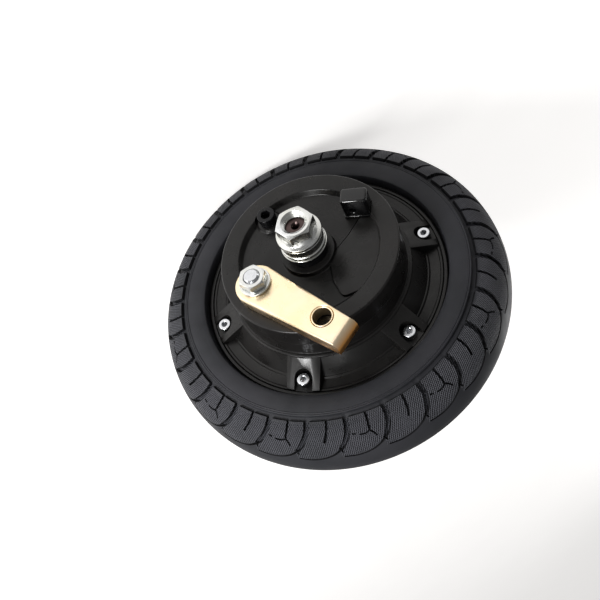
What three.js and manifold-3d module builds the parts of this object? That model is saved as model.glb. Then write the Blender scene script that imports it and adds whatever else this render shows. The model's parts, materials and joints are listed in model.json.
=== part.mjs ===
// Hub motor wheel with a drum brake, in millimetres.
//
// The wheel spins about the row's Y axis, stands on its tyre with +Z up, and shows its brake side
// towards -Y. Every piece is drawn in the wheel's own frame, where x and y lie in the wheel's
// plane and h runs along the axle from the tyre's centre plane towards the brake side. One group
// then turns that frame upright.
import * as THREE from 'three';
import { mergeVertices } from 'three/addons/utils/BufferGeometryUtils.js';
import Module from 'manifold-3d';

const wasm = await Module();
wasm.setup();

// ---------------------------------------------------------------- driving dimensions

const TYRE_RADIUS = 100; // an 8 inch solid tyre
const TYRE_HALF_WIDTH = 26.5;
const RIM_LIP_RADIUS = 68.5;
const RIM_LIP_H = 19.7;
const RIM_SEAT_RADIUS = 63.5;
const RIM_BORE = 57.5;
const RIM_FACE_H = 15.7; // the covers are screwed against this face

const COVER_RADIUS = 66;
const COVER_SCREW_CIRCLE = 60.5;
const COVER_SCREW_ANGLES = [19, 79, 139, 199, 259, 319];
const SCREW_SEAT_H = 19.4;
const DRUM_OUTER_RADIUS = 48.6;
const DRUM_TOP_H = 40.2;
const DRUM_BORE = 42.5;

const BEARING = { bore: 15, outer: 32, width: 9, inner_h: 18 }; // a 15 x 32 x 9 ball bearing
const AXLE_BODY_RADIUS = 10;
const THREAD_RADIUS = 6; // M12
const FLAT_HALF = 5; // the axle ends are 10 across their flats
const AXLE_BRAKE_END_H = 77;
const AXLE_REAR_END_H = -80.5;
const CABLE_BORE_RADIUS = 3.6;
const FORK_SEAT_H = 60.8; // the collars' outer faces, which the fork's legs stand against
const REAR_WASHER_H = 68.3; // leaves 7.5 for the leg on the cable side

const STATOR_RADIUS = 48.9;
const STATOR_HALF_STACK = 12;
const TEETH = 27;
const MAGNETS = 30;
const MAGNET_BORE = 49.7;

const PLATE_RADIUS = 48.9;
const PLATE_BOTTOM_H = 40.9;
const PLATE_TOP_H = 53.8;
const RECESS_RADIUS = 37.4;
const RECESS_H = 50.7;
const PLATE_BOSS_RADIUS = 14.5;

const ANCHOR_ANGLE = 39; // degrees, from the wheel's x axis to the shoes' anchor pin
const PIVOT_CIRCLE = 33; // the anchor pin and the cam both stand this far from the axle
const PIN_RADIUS = 5;
const CAM_HALF = 3; // half the cam's thickness across its flats
const SHOE_RADIUS = 39;
const LINING_RADIUS = 41.4;
const LEVER_ANGLE = -35.6;
const LEVER_EYE = 43; // from the cam's axis to the cable eye
const LEVER_TOP_H = 62.3;
const LEVER_BOTTOM_H = 54.2;

const WHEEL_TURN = 150; // degrees, from the wheel's frame to the upright wheel

const GAP = 0.3; // between pieces that rest on or in each other
const FIT = 0.15; // between coaxial pieces with the same number of sides
const FINE_SIDES = 36;
const LARGE_SIDES = 24;
const MEDIUM_SIDES = 16;
const SMALL_SIDES = 8;

// ---------------------------------------------------------------- shape helpers

const radians = THREE.MathUtils.degToRad;

/** Welds a geometry's vertices and makes it a solid whose faces point out. */
function solidOf(geometry) {
  const bare = geometry.clone();
  bare.deleteAttribute('normal');
  bare.deleteAttribute('uv');
  const welded = mergeVertices(bare, 1e-4);
  const position = welded.attributes.position;
  const corner = (i) => new THREE.Vector3().fromBufferAttribute(position, i);
  const triangles = [];
  let volume = 0;
  for (let i = 0; i < welded.index.count; i += 3) {
    const [a, b, c] = [0, 1, 2].map((k) => welded.index.getX(i + k));
    if (a === b || b === c || c === a) continue;
    triangles.push([a, b, c]);
    volume += corner(a).dot(corner(b).cross(corner(c)));
  }
  if (volume < 0) triangles.forEach((triangle) => triangle.reverse());
  return new wasm.Manifold(new wasm.Mesh({
    numProp: 3,
    vertProperties: Float32Array.from(position.array),
    triVerts: Uint32Array.from(triangles.flat()),
  }));
}

/** A solid of revolution about the h axis. The outline is a list of [radius, h]. */
function turned(outline, sides = LARGE_SIDES) {
  const points = [...outline, outline[0]].map(([r, h]) => new THREE.Vector2(r, h));
  return solidOf(new THREE.LatheGeometry(points, sides).rotateX(Math.PI / 2));
}

const ring = (inner, outer, low, high, sides) =>
  turned([[inner, low], [outer, low], [outer, high], [inner, high]], sides);

const rod = (radius, low, high, sides = SMALL_SIDES) => ring(0, radius, low, high, sides);

/** A flat outline in x and y, extruded from low to high along h. */
function prism(shape, low, high, curveSegments = 8) {
  const options = { depth: high - low, bevelEnabled: false, curveSegments };
  return solidOf(new THREE.ExtrudeGeometry(shape, options).translate(0, 0, low));
}

const outlineShape = (points) => new THREE.Shape(points.map(([x, y]) => new THREE.Vector2(x, y)));

const block = (x0, x1, y0, y1, low, high) =>
  prism(outlineShape([[x0, y0], [x1, y0], [x1, y1], [x0, y1]]), low, high);

/** A sector of a ring between two radii and two angles in degrees. */
function sectorShape(inner, outer, from, to) {
  const shape = new THREE.Shape();
  shape.absarc(0, 0, outer, radians(from), radians(to), false);
  shape.absarc(0, 0, inner, radians(to), radians(from), true);
  shape.closePath();
  return shape;
}

/** A regular hexagon with a corner on the x axis, given the distance across its flats. */
function hexagonShape(acrossFlats) {
  const radius = acrossFlats / 2 / Math.cos(Math.PI / 6);
  const corners = [0, 1, 2, 3, 4, 5].map((k) => radians(60 * k));
  return outlineShape(corners.map((a) => [radius * Math.cos(a), radius * Math.sin(a)]));
}

const at = (solid, x, y) => solid.translate([x, y, 0]);

const turnedBy = (solid, degrees) => solid.rotate([0, 0, degrees]);

/** The same solid on the wheel's other side, made by half a turn about the x axis. */
const otherSide = (solid) => solid.rotate([180, 0, 0]);

const union = (solids) => solids.reduce((sum, solid) => sum.add(solid));

const polar = (radius, degrees) =>
  [radius * Math.cos(radians(degrees)), radius * Math.sin(radians(degrees))];

// ---------------------------------------------------------------- finishes

const finish = (color, roughness, metalness) =>
  new THREE.MeshStandardMaterial({ color, roughness, metalness, flatShading: true });

const tyreRubber = () => finish(0x1c1d20, 0.85, 0);
const blackCasting = () => finish(0x2b2a2a, 0.55, 0.2);
const blackGloss = () => finish(0x101010, 0.25, 0);
const blackSteel = () => finish(0x1d1d1f, 0.4, 0.6);
const zincSteel = () => finish(0xd3d6d8, 0.3, 0.9);
const yellowZinc = () => finish(0xd9bd7a, 0.35, 0.8);
const brightSteel = () => finish(0xb9bcc0, 0.28, 0.95);
const bearingSteel = () => finish(0xc2c5c8, 0.2, 1);
const greySteel = () => finish(0x6e7073, 0.45, 0.8);
const magnetGrey = () => finish(0x54575b, 0.4, 0.6);
const enamelledCopper = () => finish(0xb1622c, 0.35, 0.6);
const laminatedSteel = () => finish(0x4d5156, 0.5, 0.7);
const castAluminium = () => finish(0x9da1a4, 0.5, 0.7);
const circuitGreen = () => finish(0x1f5a38, 0.5, 0.1);
const liningBrown = () => finish(0x5b4a3a, 0.9, 0);
const bronze = () => finish(0x9b7440, 0.4, 0.8);
const softRubber = () => finish(0x151515, 0.8, 0);

const wheel = new THREE.Group();
wheel.rotation.set(Math.PI / 2, 0, radians(WHEEL_TURN));

/** Adds a solid to a group as one named sub-part. */
function addPart(name, solid, material, parent = wheel) {
  const { vertProperties, triVerts } = solid.getMesh();
  const geometry = new THREE.BufferGeometry();
  geometry.setAttribute('position', new THREE.BufferAttribute(Float32Array.from(vertProperties), 3));
  geometry.setIndex(Array.from(triVerts));
  geometry.computeVertexNormals();
  const mesh = new THREE.Mesh(geometry, material);
  mesh.name = name;
  parent.add(mesh);
  return mesh;
}

// ---------------------------------------------------------------- axle

const KEY = { width: 5, length: 9, top: 12.3, bottom: 8 };

function axle() {
  const seat = BEARING.bore / 2;
  const shoulder = BEARING.inner_h - GAP;
  const rearThreadStart = -34;
  const brakeThreadStart = 54.2;
  const chamfer = 0.8;
  const body = turned([
    [0, AXLE_REAR_END_H], [THREAD_RADIUS - chamfer, AXLE_REAR_END_H],
    [THREAD_RADIUS, AXLE_REAR_END_H + chamfer], [THREAD_RADIUS, rearThreadStart],
    [seat, rearThreadStart], [seat, -shoulder], [AXLE_BODY_RADIUS, -shoulder],
    [AXLE_BODY_RADIUS, shoulder], [seat, shoulder], [seat, brakeThreadStart],
    [THREAD_RADIUS, brakeThreadStart], [THREAD_RADIUS, AXLE_BRAKE_END_H - chamfer],
    [THREAD_RADIUS - chamfer, AXLE_BRAKE_END_H], [1.6, AXLE_BRAKE_END_H],
    [0, AXLE_BRAKE_END_H - 3.5],
  ], MEDIUM_SIDES);
  const flatsBetween = (half, low, high) =>
    [block(-9, 9, half, 9, low, high), block(-9, 9, -9, -half, low, high)];
  const flats = [
    ...flatsBetween(FLAT_HALF, 60.6, 80), ...flatsBetween(FLAT_HALF, -82, -60.6),
    ...flatsBetween(FLAT_HALF - 0.1, -(REAR_WASHER_H - GAP), -(FORK_SEAT_H + GAP)),
  ];
  const cableBore = rod(CABLE_BORE_RADIUS, -82, -10, MEDIUM_SIDES);
  const cableSlot = block(0, 12, -3, 3, -16.5, -9);
  const keyway = block(KEY.bottom, 12, -KEY.width / 2 - FIT, KEY.width / 2 + FIT, -4.8, 4.8);
  return [...flats, cableBore, cableSlot, keyway].reduce((solid, cut) => solid.subtract(cut), body);
}

addPart('axle', axle(), greySteel());
addPart('axle_key', block(KEY.bottom + FIT, KEY.top, -KEY.width / 2, KEY.width / 2, -4.5, 4.5),
  brightSteel());

// ---------------------------------------------------------------- motor

const STATOR_HUB_OUTER = 29.8;

function statorHub() {
  const web = turned([
    [AXLE_BODY_RADIUS + FIT, -7], [15, -7], [15, -4], [25.5, -4], [25.5, -9], [STATOR_HUB_OUTER, -9],
    [STATOR_HUB_OUTER, 9], [25.5, 9], [25.5, 4], [15, 4], [15, 7], [AXLE_BODY_RADIUS + FIT, 7],
  ], MEDIUM_SIDES);
  const keyway = block(8, KEY.top + GAP, -KEY.width / 2 - FIT, KEY.width / 2 + FIT, -8, 8);
  const windows = [0, 1, 2, 3, 4, 5].map((k) => at(rod(3.4, -5, 5, 8), ...polar(20.2, 60 * k + 30)));
  return windows.reduce((solid, cut) => solid.subtract(cut), web.subtract(keyway));
}

/** The laminated core: one tooth with a wide tip for each coil. */
function statorCore() {
  const pitch = 360 / TEETH;
  const slotBottom = 36.5;
  const tipStart = 46.6;
  const toothHalf = 2;
  const tipHalf = pitch / 2 - 1.3;
  const outline = [];
  for (let k = 0; k < TEETH; k += 1) {
    const middle = k * pitch;
    const rootHalf = THREE.MathUtils.radToDeg(Math.asin(toothHalf / slotBottom));
    const neckHalf = THREE.MathUtils.radToDeg(Math.asin(toothHalf / tipStart));
    outline.push(polar(slotBottom, middle - rootHalf), polar(tipStart, middle - neckHalf));
    outline.push(polar(STATOR_RADIUS, middle - tipHalf), polar(STATOR_RADIUS, middle + tipHalf));
    outline.push(polar(tipStart, middle + neckHalf), polar(slotBottom, middle + rootHalf));
  }
  const core = prism(outlineShape(outline), -STATOR_HALF_STACK, STATOR_HALF_STACK);
  return core.subtract(rod(STATOR_HUB_OUTER + FIT, -13, 13, MEDIUM_SIDES));
}

/** All coils as one body: an overhang ring on each face, joined by a bar in every slot. */
function windings() {
  const overhang = ring(37.2, 46, STATOR_HALF_STACK + GAP, 16.9, TEETH);
  const bars = Array.from({ length: TEETH }, (_, k) => {
    const bar = outlineShape([[38, -1.7], [44.8, -2.3], [44.8, 2.3], [38, 1.7]]);
    return turnedBy(prism(bar, -14, 14), (k + 0.5) * 360 / TEETH);
  });
  return union([overhang, otherSide(overhang), ...bars]);
}

function hallBoard() {
  const board = prism(sectorShape(26.2, 35.6, 200, 320), -14.1, -STATOR_HALF_STACK - GAP, 12);
  const sensors = [240, 260, 280].map((angle) => {
    const [x, y] = polar(33, angle);
    return at(turnedBy(block(-1.5, 1.5, -2, 2, -15.6, -13.9), angle), x, y);
  });
  return union([board, ...sensors]);
}

/** Flat magnets set side by side, as one closed ring. */
function magnetRing() {
  const outer = 52.2;
  const pitch = 360 / MAGNETS;
  const magnetHalf = pitch / 2 - 1.2;
  const outline = [];
  for (let k = 0; k < MAGNETS; k += 1) {
    const middle = k * pitch;
    outline.push(polar(MAGNET_BORE + 1, middle - pitch / 2));
    outline.push(polar(MAGNET_BORE, middle - magnetHalf), polar(MAGNET_BORE, middle + magnetHalf));
  }
  const bore = prism(outlineShape(outline), -14, 14);
  return rod(outer, -12.4, 12.4, LARGE_SIDES).subtract(bore);
}

addPart('stator_hub', statorHub(), castAluminium());
addPart('stator_core', statorCore(), laminatedSteel());
addPart('stator_windings', windings(), enamelledCopper());
addPart('hall_sensor_board', hallBoard(), circuitGreen());
addPart('magnet_ring', magnetRing(), magnetGrey());
addPart('back_iron_ring', ring(52.5, RIM_BORE - GAP, -12.8, 12.8), greySteel());

// ---------------------------------------------------------------- rim and tyre

/** One half of an outline that is the same on both sides of the wheel's centre plane. */
const mirrored = (half) => [...half, ...half.map(([r, h]) => [r, -h]).reverse()];

function hubShell() {
  const shell = turned(mirrored([
    [RIM_BORE, RIM_FACE_H], [COVER_RADIUS + FIT, RIM_FACE_H], [COVER_RADIUS + FIT, RIM_LIP_H],
    [RIM_LIP_RADIUS - 0.6, RIM_LIP_H], [RIM_LIP_RADIUS, RIM_LIP_H - 0.6], [RIM_LIP_RADIUS, 17],
    [RIM_SEAT_RADIUS, 12],
  ]));
  const holes = COVER_SCREW_ANGLES.flatMap((angle) => {
    const hole = at(rod(2.1, 6.5, 20, 8), ...polar(COVER_SCREW_CIRCLE, angle));
    return [hole, otherSide(hole)];
  });
  return holes.reduce((solid, hole) => solid.subtract(hole), shell);
}

function tyre() {
  return turned(mirrored([
    [TYRE_RADIUS, 4], [98.9, 11.5], [95.2, 18.2], [90.4, 21.6], [84.4, 24], [80.4, 25.9],
    [76, TYRE_HALF_WIDTH], [72.4, 25.3], [69.8, 22.2], [RIM_LIP_RADIUS + GAP, 19],
    [RIM_LIP_RADIUS + GAP, 16.8], [RIM_SEAT_RADIUS + GAP, 11.8],
  ]), FINE_SIDES);
}

addPart('hub_shell', hubShell(), blackCasting());
addPart('tyre', tyre(), tyreRubber());

// ---------------------------------------------------------------- covers, drum and cover screws

/** The pad under one cover screw: a wedge on the cone with a slot round the screw's head. */
function coverPads(cover, wedgeProfile) {
  const width = 18.5;
  const slot = new THREE.Shape();
  slot.moveTo(75, -5);
  slot.lineTo(COVER_SCREW_CIRCLE, -5);
  slot.absarc(COVER_SCREW_CIRCLE, 0, 5, -Math.PI / 2, Math.PI / 2, true);
  slot.lineTo(75, 5);
  slot.closePath();
  const wedge = prism(outlineShape(wedgeProfile), -width / 2, width / 2).rotate([90, 0, 0]);
  const inside = rod(COVER_RADIUS, 0, 45, LARGE_SIDES);
  const pads = COVER_SCREW_ANGLES.map((angle) => turnedBy(wedge, angle).intersect(inside));
  const slots = COVER_SCREW_ANGLES.map((angle) => turnedBy(prism(slot, SCREW_SEAT_H, 45, 5), angle));
  const holes = COVER_SCREW_ANGLES.map((angle) =>
    at(rod(2.1, 10, 45, 8), ...polar(COVER_SCREW_CIRCLE, angle)));
  return [...slots, ...holes].reduce((solid, cut) => solid.subtract(cut), union([cover, ...pads]));
}

const BEARING_POCKET = BEARING.outer / 2 + FIT;
const BEARING_OUT_H = BEARING.inner_h + BEARING.width;

function brakeCover() {
  const shell = turned([
    [BEARING_POCKET, 17.5], [20.5, 17.5], [20.5, 23.6], [46, 23.6], [54.2, 17.6], [54.2, 13.2],
    [RIM_BORE - FIT, 13.2], [RIM_BORE - FIT, RIM_FACE_H + GAP], [COVER_RADIUS, RIM_FACE_H + GAP],
    [COVER_RADIUS, 19], [COVER_RADIUS - 0.6, SCREW_SEAT_H], [57.9, SCREW_SEAT_H],
    [50.2, 29.4], [DRUM_OUTER_RADIUS, 29.7], [DRUM_OUTER_RADIUS, DRUM_TOP_H], [46, DRUM_TOP_H],
    [46, 27], [20.5, 27], [20.5, 28.8], [12.8, 28.8], [12.8, BEARING_OUT_H + GAP],
    [BEARING_POCKET, BEARING_OUT_H + GAP],
  ]);
  return coverPads(shell, [
    [49.3, 29.4], [COVER_RADIUS, 20.2], [COVER_RADIUS, 17.5], [57.5, 17.5], [50, 26.8],
  ]);
}

function rearCover() {
  const shell = turned([
    [BEARING_POCKET, 17.5], [20.5, 17.5], [20.5, 21.6], [44, 21.6], [54.2, 17.6], [54.2, 13.2],
    [RIM_BORE - FIT, 13.2], [RIM_BORE - FIT, RIM_FACE_H + GAP], [COVER_RADIUS, RIM_FACE_H + GAP],
    [COVER_RADIUS, 19], [COVER_RADIUS - 0.6, SCREW_SEAT_H], [57.9, SCREW_SEAT_H],
    [47, 24.6], [23, 26.2], [21, 30.5], [12.8, 30.5], [12.8, BEARING_OUT_H + GAP],
    [BEARING_POCKET, BEARING_OUT_H + GAP],
  ]);
  return coverPads(shell, [[50, 24.2], [COVER_RADIUS, 20.2], [COVER_RADIUS, 17.5], [57, 17.5], [51, 20.5]]);
}

/** An M4 socket head cap screw standing at the origin, with its seat at h = 0. */
function capScrew(radius, headRadius, headHeight, socketAcross, length) {
  const body = turned([
    [0, -length], [radius, -length], [radius, 0], [headRadius, 0], [headRadius, headHeight - 0.4],
    [headRadius - 0.4, headHeight], [0, headHeight],
  ], SMALL_SIDES);
  return body.subtract(prism(hexagonShape(socketAcross), headHeight * 0.45, headHeight + 1));
}

addPart('brake_side_cover', brakeCover(), blackCasting());
addPart('rear_cover', otherSide(rearCover()), blackCasting());
addPart('brake_drum_liner', ring(DRUM_BORE, 45.3, 27.3, 39.6, FINE_SIDES), greySteel());

const coverScrew = capScrew(1.7, 3.5, 4, 3, 11.5);
COVER_SCREW_ANGLES.forEach((angle, i) => {
  const [x, y] = polar(COVER_SCREW_CIRCLE, angle);
  const placed = coverScrew.translate([x, y, SCREW_SEAT_H + GAP]);
  addPart(`brake_cover_screw_${i + 1}`, placed, brightSteel());
  addPart(`rear_cover_screw_${i + 1}`, otherSide(placed), brightSteel());
});

// ---------------------------------------------------------------- bearings and seals

function bearingCage() {
  const pitchRadius = 11.75;
  const cage = ring(pitchRadius - 0.6, pitchRadius + 0.6, 20.7, 24.3, 14);
  const ball = solidOf(new THREE.SphereGeometry(2.1, 6, 3));
  const balls = Array.from({ length: 7 }, (_, k) => {
    const [x, y] = polar(pitchRadius, (360 / 7) * k);
    return ball.translate([x, y, BEARING.inner_h + BEARING.width / 2]);
  });
  return union([cage, ...balls]);
}

const innerRace = ring(BEARING.bore / 2 + FIT, 9.4, BEARING.inner_h, BEARING_OUT_H, MEDIUM_SIDES);
const outerRace = ring(14.1, BEARING.outer / 2, BEARING.inner_h, BEARING_OUT_H, LARGE_SIDES);
const SLEEVE_RADIUS = 9.6;
const dustSeal = turned([
  [SLEEVE_RADIUS + 0.5, 27.6], [12.8 - FIT, 27.6], [12.8 - FIT, 28.6], [SLEEVE_RADIUS + 0.5, 29.1],
], LARGE_SIDES);

for (const [side, place] of [['brake', (solid) => solid], ['rear', otherSide]]) {
  addPart(`${side}_bearing_inner_race`, place(innerRace), bearingSteel());
  addPart(`${side}_bearing_outer_race`, place(outerRace), bearingSteel());
  addPart(`${side}_bearing_balls`, place(bearingCage()), bearingSteel());
  addPart(`${side}_dust_seal`, place(dustSeal), softRubber());
}

// ---------------------------------------------------------------- brake plate

const anchorAt = polar(PIVOT_CIRCLE, ANCHOR_ANGLE);
const camAt = polar(PIVOT_CIRCLE, ANCHOR_ANGLE + 180);
const PLATE_SCREW_AT = [-22.6, 24.2];
const CAM_BORE = 7.2;

const RAISED_FLOOR_H = RECESS_H + 0.9;
const STOP = { x: 27.6, y: 21.9, turn: -6, halfX: 7.1, halfY: 4.5, base: RAISED_FLOOR_H + GAP, top: 65.5 };

/** The cable stop's outline with round corners, grown by a margin. */
function stopShape(margin) {
  const corner = 1.6 + margin;
  const [x, y] = [STOP.halfX + margin - corner, STOP.halfY + margin - corner];
  const shape = new THREE.Shape();
  [[x, -y], [x, y], [-x, y], [-x, -y]].forEach(([cx, cy], k) => {
    shape.absarc(cx, cy, corner, (k - 1) * Math.PI / 2, k * Math.PI / 2, false);
  });
  return shape;
}

const placedStop = (solid) => at(turnedBy(solid, STOP.turn), STOP.x, STOP.y);

function brakePlate() {
  const webBottom = 46.6;
  const dish = turned([
    [7.9, 41.2], [15.5, 41.2], [15.5, webBottom], [46.4, webBottom], [46.4, PLATE_BOTTOM_H],
    [PLATE_RADIUS, PLATE_BOTTOM_H], [PLATE_RADIUS, PLATE_TOP_H - 1.8],
    [PLATE_RADIUS - 0.5, PLATE_TOP_H - 0.5], [PLATE_RADIUS - 1.8, PLATE_TOP_H],
    [RECESS_RADIUS, PLATE_TOP_H], [RECESS_RADIUS, RECESS_H], [PLATE_BOSS_RADIUS, RECESS_H],
    [PLATE_BOSS_RADIUS, 53.7], [PLATE_BOSS_RADIUS - 0.4, 54], [7.9, 54],
  ]);
  const raisedFloor = prism(outlineShape([
    [28, 17], [21.6, 7], [15.3, -0.3], [11, -7], [13, -20], [17.5, -30], polar(38, -45), polar(38, -20),
    polar(38, 5), polar(38, 24),
  ]), RECESS_H - 1, RAISED_FLOOR_H).subtract(rod(PLATE_BOSS_RADIUS - 1, 40, 60, LARGE_SIDES));
  const screwClearance = at(rod(7.4, RECESS_H, 60, MEDIUM_SIDES), ...PLATE_SCREW_AT);
  const screwBoss = at(turned([
    [0, RECESS_H - 1], [7.6, RECESS_H - 1], [7.6, RECESS_H], [6.5, 51.3], [6.2, 52], [0, 52],
  ], MEDIUM_SIDES), ...PLATE_SCREW_AT);
  const screwHole = at(rod(3, 43, 60), ...PLATE_SCREW_AT);
  const screwBossBelow = at(rod(6, 41.5, 47), ...PLATE_SCREW_AT);
  const anchorBoss = at(rod(8.2, 41.2, 47, MEDIUM_SIDES), ...anchorAt);
  const camBoss = at(rod(9.8, 41.2, 52.8, MEDIUM_SIDES), ...camAt);
  const solid = union([
    dish.subtract(screwClearance), raisedFloor.intersect(rod(RECESS_RADIUS + 1, 40, 60, LARGE_SIDES)),
    screwBoss, screwBossBelow, anchorBoss, camBoss,
  ]);
  const anchorHole = at(rod(PIN_RADIUS + FIT, 40, 49.3, MEDIUM_SIDES), ...anchorAt);
  const camHole = at(rod(CAM_BORE, 40, 60, MEDIUM_SIDES), ...camAt);
  const stopPocket = placedStop(prism(stopShape(GAP), RAISED_FLOOR_H, 60, 3));
  return [screwHole, anchorHole, camHole, stopPocket].reduce((plate, cut) => plate.subtract(cut), solid);
}

/** The block over the anchor pin that the brake cable's outer casing ends against. */
function cableStop() {
  const cableHole = rod(1.6, -10, 10, 8).rotate([90, 0, 0]).translate([-1.6, 0, 57]);
  return placedStop(prism(stopShape(0), STOP.base, STOP.top, 3).subtract(cableHole));
}

addPart('brake_plate', brakePlate(), blackCasting());
addPart('cable_stop', cableStop(), blackGloss());
addPart('anchor_pin', at(rod(PIN_RADIUS, 28.5, 49, MEDIUM_SIDES), ...anchorAt), brightSteel());
addPart('cam_bush', at(ring(PIN_RADIUS + FIT, CAM_BORE - FIT, 41.2, 53.6, MEDIUM_SIDES), ...camAt),
  bronze());
addPart('plate_screw', at(capScrew(2.7, 5, 6, 5, 8.5).translate([0, 0, 52 + GAP]), ...PLATE_SCREW_AT),
  blackSteel());

// ---------------------------------------------------------------- brake shoes and return springs

/** The shoes' frame: the anchor pin lies on +x and the cam on -x. */
const shoeFrame = new THREE.Group();
shoeFrame.rotation.z = radians(ANCHOR_ANGLE);
wheel.add(shoeFrame);

const SPRING_AT = 20; // the return springs cross the shoes' split this far from the axle
const SPRING_HOOK = 18.6;

/** The shoe on the +y side of its frame. */
function shoe() {
  const table = prism(sectorShape(SHOE_RADIUS - 2.2, SHOE_RADIUS, 28, 152), 29, 38.6, 10);
  const web = union([
    prism(sectorShape(25, SHOE_RADIUS - 1.5, 0, 180), 32, 36, 10),
    at(rod(8, 32, 36, MEDIUM_SIDES), PIVOT_CIRCLE, 0), at(rod(8, 32, 36, MEDIUM_SIDES), -PIVOT_CIRCLE, 0),
  ]);
  const cuts = [
    block(-60, 60, -20, 0.4, 20, 50), at(rod(PIN_RADIUS + GAP, 20, 50, MEDIUM_SIDES), PIVOT_CIRCLE, 0),
    block(-60, -20, -20, CAM_HALF + GAP, 20, 50), at(rod(1.3, 20, 50, 12), SPRING_AT, SPRING_HOOK),
    at(rod(1.3, 20, 50, 12), -SPRING_AT, SPRING_HOOK),
  ];
  return cuts.reduce((solid, cut) => solid.subtract(cut), union([table, web]));
}

const lining = prism(sectorShape(SHOE_RADIUS + FIT, LINING_RADIUS, 31, 149), 29.3, 38.3, 10);
const mirrorShoe = (solid) => solid.mirror([0, 1, 0]);

/** A close-wound return spring along y, hooked into both shoes' webs. */
function returnSpring() {
  const turns = 6;
  const coilEnd = 12;
  const [root, crest] = [2, 2.6];
  const h = 34;
  const outline = [[0, -coilEnd]];
  for (let k = 0; k <= turns * 2; k += 1) {
    outline.push([k % 2 ? crest : root, -coilEnd + (k / (turns * 2)) * 2 * coilEnd]);
  }
  outline.push([0, coilEnd]);
  const coil = turned(outline, 8).rotate([90, 0, 0]).translate([0, 0, h]);
  const hookPath = new THREE.CatmullRomCurve3([
    [coilEnd - 1, h], [coilEnd + 0.9, h + 0.6], [14.3, 36.9], [17.6, 37],
    [SPRING_HOOK, 35.9], [SPRING_HOOK, 33.4],
  ].map(([y, z]) => new THREE.Vector3(0, y, z)));
  const wire = new THREE.Shape().absarc(0, 0, 0.55, 0, Math.PI * 2, false);
  const options = { steps: 9, extrudePath: hookPath, curveSegments: 2, bevelEnabled: false };
  const hook = solidOf(new THREE.ExtrudeGeometry(wire, options));
  return union([coil, hook, mirrorShoe(hook)]);
}

addPart('brake_shoe_a', shoe(), castAluminium(), shoeFrame);
addPart('brake_shoe_b', mirrorShoe(shoe()), castAluminium(), shoeFrame);
addPart('brake_lining_a', lining, liningBrown(), shoeFrame);
addPart('brake_lining_b', mirrorShoe(lining), liningBrown(), shoeFrame);
addPart('shoe_spring_anchor_end', returnSpring().translate([SPRING_AT, 0, 0]), brightSteel(), shoeFrame);
addPart('shoe_spring_cam_end', returnSpring().translate([-SPRING_AT, 0, 0]), brightSteel(), shoeFrame);

// ---------------------------------------------------------------- cam and lever

/** The lever's frame stands on the cam's axis, with the cable eye on +x. */
const leverFrame = new THREE.Group();
leverFrame.position.set(...camAt, 0);
leverFrame.rotation.z = radians(LEVER_ANGLE);
wheel.add(leverFrame);

/** The cam shaft: a flat cam between the shoes, a journal in the bush and a stud for the lever. */
function camShaft() {
  const studRadius = 4;
  const shaft = turned([
    [0, 28.5], [PIN_RADIUS - 0.5, 28.5], [PIN_RADIUS, 29], [PIN_RADIUS, LEVER_BOTTOM_H + 1],
    [4.7, LEVER_BOTTOM_H + 1], [4.7, LEVER_TOP_H], [studRadius, LEVER_TOP_H], [studRadius, 69.6],
    [studRadius - 0.6, 70.2], [0, 70.2],
  ], MEDIUM_SIDES);
  const camFlats = [block(-9, 9, CAM_HALF, 9, 28, 39), block(-9, 9, -9, -CAM_HALF, 28, 39)];
  const cam = camFlats.reduce((solid, cut) => solid.subtract(cut), shaft);
  return turnedBy(cam, ANCHOR_ANGLE - LEVER_ANGLE);
}

const EYE_RADIUS = 5.85;
const LEVER_END = { x: 59.6, low: -10.6, high: 5.9 };

/** The lever's outline, inset by a margin: a round boss that narrows to a square end. */
function leverShape(inset) {
  const shape = new THREE.Shape();
  const boss = 11.4 - inset;
  shape.absarc(0, 0, boss, radians(80), radians(270), false);
  shape.lineTo(LEVER_END.x - inset, LEVER_END.low + inset);
  shape.lineTo(LEVER_END.x - inset, LEVER_END.high - inset);
  shape.closePath();
  return shape;
}

/** The lever's side view: the far end of the top turns down round a fold. */
function leverProfile(inset) {
  const fold = 4.2;
  const shape = new THREE.Shape();
  const [end, top] = [LEVER_END.x - inset, LEVER_TOP_H - inset];
  shape.moveTo(-20, 50);
  shape.lineTo(end, 50);
  shape.lineTo(end, top - fold);
  shape.absarc(end - fold, top - fold, fold, 0, Math.PI / 2, false);
  shape.lineTo(-20, top);
  shape.closePath();
  return prism(shape, -20, 20, 5).rotate([90, 0, 0]);
}

/** A steel channel: a flat top with its sides and its far end turned down. */
function lever() {
  const wall = 2.6;
  const outside = prism(leverShape(0), LEVER_BOTTOM_H, LEVER_TOP_H, 8).intersect(leverProfile(0));
  const inside = prism(leverShape(wall), 40, LEVER_TOP_H - wall, 8).intersect(leverProfile(wall));
  const studHole = rod(5, 40, 70, MEDIUM_SIDES);
  const eye = at(rod(EYE_RADIUS, 40, 70, MEDIUM_SIDES), LEVER_EYE, 0);
  return outside.subtract(inside).subtract(studHole).subtract(eye);
}

addPart('cam_shaft', camShaft(), brightSteel(), leverFrame);
addPart('brake_lever', lever(), yellowZinc(), leverFrame);
addPart('lever_cable_sleeve',
  at(ring(4.9, EYE_RADIUS - 0.2, LEVER_BOTTOM_H + 0.3, LEVER_TOP_H, MEDIUM_SIDES), LEVER_EYE, 0),
  yellowZinc(), leverFrame);
addPart('lever_washer', ring(4.3, 8.5, LEVER_TOP_H + GAP, 64, MEDIUM_SIDES), zincSteel(), leverFrame);
addPart('lever_nut', prism(hexagonShape(13), 64.3, 69).subtract(rod(4.3, 60, 75, MEDIUM_SIDES)),
  zincSteel(), leverFrame);

// ---------------------------------------------------------------- fasteners along the axle

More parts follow.
